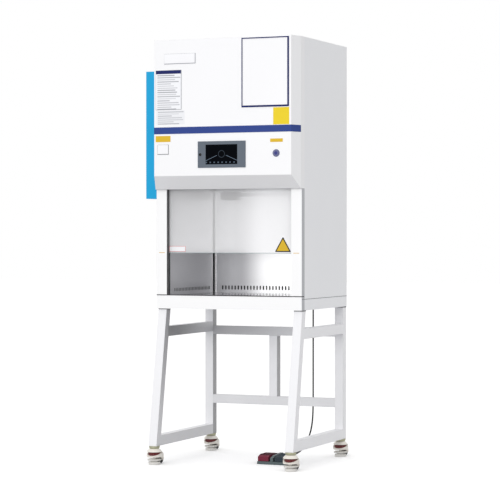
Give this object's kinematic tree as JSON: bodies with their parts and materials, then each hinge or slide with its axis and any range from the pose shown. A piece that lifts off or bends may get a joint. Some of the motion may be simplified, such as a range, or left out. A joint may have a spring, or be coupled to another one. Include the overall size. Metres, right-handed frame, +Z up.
{
  "type": "biosafety cabinet",
  "caption": "Upright biosafety cabinet with a sliding glass sash, stainless chamber, overhanging control hood, open tube stand on levelling casters and a corded foot switch.",
  "frame": {"origin": "middle of the base of the bounding box, on the floor, measured without the cord", "axes": "+X across the cabinet to the right of the person at work, +Y from the opening to the rear, +Z up"},
  "size_m": [0.763, 0.726, 1.886],
  "materials": {
    "white_paint": "semi-gloss white powder coat",
    "dark_trim": "matt black",
    "stainless": "brushed stainless steel",
    "grey_plastic": "satin slate grey",
    "screen": "dark display cover",
    "chrome": "polished ring",
    "blue_core": "blue-violet core",
    "cyan_paint": "cyan coat",
    "filter_frame": "filter frame and pleated pack",
    "zinc_steel": "zinc plated steel",
    "aluminium": "satin aluminium",
    "lamp_glass": "white lamp glass",
    "sash_glass": "clear toughened glass",
    "strap": "woven strap",
    "maroon_plastic": "matt maroon",
    "cord_rubber": "black cable jacket",
    "ivory_housing": "ivory housing",
    "red_plastic": "red thumbwheel",
    "pad_plastic": "cream foot pad",
    "dark_wheel": "black nylon wheel"
  },
  "bodies": {
    "cabinet": {"side_panel_left": "white_paint", "side_panel_right": "white_paint", "rear_panel": "white_paint", "top_panel": "white_paint", "base_frame": "white_paint", "front_apron": "white_paint", "edge_trim": "dark_trim", "front_frame": "white_paint", "sash_channels": "dark_trim", "inner_wall_left": "stainless", "inner_wall_right": "stainless", "inner_wall_rear": "stainless", "work_tray": "stainless", "ceiling_diffuser": "stainless", "hood_shell": "white_paint", "blank_panel": "white_paint", "control_bezel": "grey_plastic", "control_screen": "screen", "key_collar": "chrome", "side_cover": "cyan_paint", "supply_filter": "filter_frame", "exhaust_filter": "filter_frame", "blower_housing": "zinc_steel", "blower_motor": "zinc_steel", "uv_lamp_holder": "stainless", "uv_tube": "lamp_glass", "led_lamp": "lamp_glass", "lift_motor": "zinc_steel", "lift_straps": "strap", "stand_side_left": "white_paint", "stand_side_right": "white_paint", "stand_rear": "white_paint", "caster_stems": "zinc_steel", "pedal_base": "grey_plastic", "cord_gland": "dark_trim", "power_inlet": "dark_trim", "cord": "cord_rubber"},
    "sash": {"sash_glass": "sash_glass", "sash_hanger": "aluminium"},
    "lift_shaft_body": {"lift_shaft": "zinc_steel"},
    "fan": {"impeller": "aluminium"},
    "key_core": {"key_rotor": "blue_core"},
    "left_pedal": {"pedal_left": "maroon_plastic"},
    "right_pedal": {"pedal_right": "dark_trim"},
    "swivel_front_left": {"caster_housing_front_left": "ivory_housing"},
    "dial_front_left": {"caster_dial_front_left": "red_plastic"},
    "pad_front_left": {"caster_pad_front_left": "pad_plastic"},
    "roller_front_left": {"caster_wheel_front_left": "dark_wheel"},
    "swivel_front_right": {"caster_housing_front_right": "ivory_housing"},
    "dial_front_right": {"caster_dial_front_right": "red_plastic"},
    "pad_front_right": {"caster_pad_front_right": "pad_plastic"},
    "roller_front_right": {"caster_wheel_front_right": "dark_wheel"},
    "swivel_rear_left": {"caster_housing_rear_left": "ivory_housing"},
    "dial_rear_left": {"caster_dial_rear_left": "red_plastic"},
    "pad_rear_left": {"caster_pad_rear_left": "pad_plastic"},
    "roller_rear_left": {"caster_wheel_rear_left": "dark_wheel"},
    "swivel_rear_right": {"caster_housing_rear_right": "ivory_housing"},
    "dial_rear_right": {"caster_dial_rear_right": "red_plastic"},
    "pad_rear_right": {"caster_pad_rear_right": "pad_plastic"},
    "roller_rear_right": {"caster_wheel_rear_right": "dark_wheel"}
  },
  "joints": [
    {"name": "sash_slide", "type": "slide", "parent": "cabinet", "child": "sash", "axis": [0, 0, 1], "range_m": [-0.1885, 0.15], "deforming": ["lift_straps"]},
    {"name": "lift_shaft_turn", "type": "hinge", "parent": "cabinet", "child": "lift_shaft_body", "pos_m": [0.0205, -0.2125, 1.77], "axis": [1, 0, 0], "range_deg": [-722, 575]},
    {"name": "fan_spin", "type": "hinge", "parent": "cabinet", "child": "fan", "pos_m": [0.0205, 0.021, 1.61], "axis": [1, 0, 0], "continuous": true},
    {"name": "key_turn", "type": "hinge", "parent": "cabinet", "child": "key_core", "pos_m": [0.2785, -0.327, 1.377], "axis": [0, 1, 0], "range_deg": [0, 90]},
    {"name": "left_pedal_dip", "type": "hinge", "parent": "cabinet", "child": "left_pedal", "pos_m": [0.1775, -0.037, 0.024], "axis": [1, 0, 0], "range_deg": [0, 4.5], "stiffness_Nm_per_rad": 3, "springref_deg": -6.88},
    {"name": "right_pedal_dip", "type": "hinge", "parent": "cabinet", "child": "right_pedal", "pos_m": [0.1775, -0.037, 0.024], "axis": [1, 0, 0], "range_deg": [0, 4.5], "stiffness_Nm_per_rad": 3, "springref_deg": -6.88},
    {"name": "swivel_turn_front_left", "type": "hinge", "parent": "cabinet", "child": "swivel_front_left", "pos_m": [-0.3065, -0.329, 0.083], "axis": [0, 0, 1], "continuous": true},
    {"name": "wheel_roll_front_left", "type": "hinge", "parent": "swivel_front_left", "child": "roller_front_left", "pos_m": [-0.3065, -0.274, 0.022], "axis": [1, 0, 0], "continuous": true},
    {"name": "dial_turn_front_left", "type": "hinge", "parent": "swivel_front_left", "child": "dial_front_left", "pos_m": [-0.3065, -0.329, 0.0555], "axis": [0, 0, 1], "range_deg": [-1, 1441]},
    {"name": "pad_screw_front_left", "type": "slide", "parent": "swivel_front_left", "child": "pad_front_left", "axis": [0, 0, 1], "range_m": [0, 0.008]},
    {"name": "swivel_turn_front_right", "type": "hinge", "parent": "cabinet", "child": "swivel_front_right", "pos_m": [0.3475, -0.329, 0.083], "axis": [0, 0, 1], "continuous": true},
    {"name": "wheel_roll_front_right", "type": "hinge", "parent": "swivel_front_right", "child": "roller_front_right", "pos_m": [0.3475, -0.274, 0.022], "axis": [1, 0, 0], "continuous": true},
    {"name": "dial_turn_front_right", "type": "hinge", "parent": "swivel_front_right", "child": "dial_front_right", "pos_m": [0.3475, -0.329, 0.0555], "axis": [0, 0, 1], "range_deg": [-1, 1441]},
    {"name": "pad_screw_front_right", "type": "slide", "parent": "swivel_front_right", "child": "pad_front_right", "axis": [0, 0, 1], "range_m": [0, 0.008]},
    {"name": "swivel_turn_rear_left", "type": "hinge", "parent": "cabinet", "child": "swivel_rear_left", "pos_m": [-0.3065, 0.286, 0.083], "axis": [0, 0, 1], "continuous": true},
    {"name": "wheel_roll_rear_left", "type": "hinge", "parent": "swivel_rear_left", "child": "roller_rear_left", "pos_m": [-0.3065, 0.341, 0.022], "axis": [1, 0, 0], "continuous": true},
    {"name": "dial_turn_rear_left", "type": "hinge", "parent": "swivel_rear_left", "child": "dial_rear_left", "pos_m": [-0.3065, 0.286, 0.0555], "axis": [0, 0, 1], "range_deg": [-1, 1441]},
    {"name": "pad_screw_rear_left", "type": "slide", "parent": "swivel_rear_left", "child": "pad_rear_left", "axis": [0, 0, 1], "range_m": [0, 0.008]},
    {"name": "swivel_turn_rear_right", "type": "hinge", "parent": "cabinet", "child": "swivel_rear_right", "pos_m": [0.3475, 0.286, 0.083], "axis": [0, 0, 1], "continuous": true},
    {"name": "wheel_roll_rear_right", "type": "hinge", "parent": "swivel_rear_right", "child": "roller_rear_right", "pos_m": [0.3475, 0.341, 0.022], "axis": [1, 0, 0], "continuous": true},
    {"name": "dial_turn_rear_right", "type": "hinge", "parent": "swivel_rear_right", "child": "dial_rear_right", "pos_m": [0.3475, 0.286, 0.0555], "axis": [0, 0, 1], "range_deg": [-1, 1441]},
    {"name": "pad_screw_rear_right", "type": "slide", "parent": "swivel_rear_right", "child": "pad_rear_right", "axis": [0, 0, 1], "range_m": [0, 0.008]}
  ],
  "couplings": [
    {"joint": "lift_shaft_turn", "follows": "sash_slide", "rad_per_m": 66.667},
    {"joint": "dial_turn_front_left", "follows": "pad_screw_front_left", "rad_per_m": 3141.6},
    {"joint": "dial_turn_front_right", "follows": "pad_screw_front_right", "rad_per_m": 3141.6},
    {"joint": "dial_turn_rear_left", "follows": "pad_screw_rear_left", "rad_per_m": 3141.6},
    {"joint": "dial_turn_rear_right", "follows": "pad_screw_rear_right", "rad_per_m": 3141.6}
  ]
}
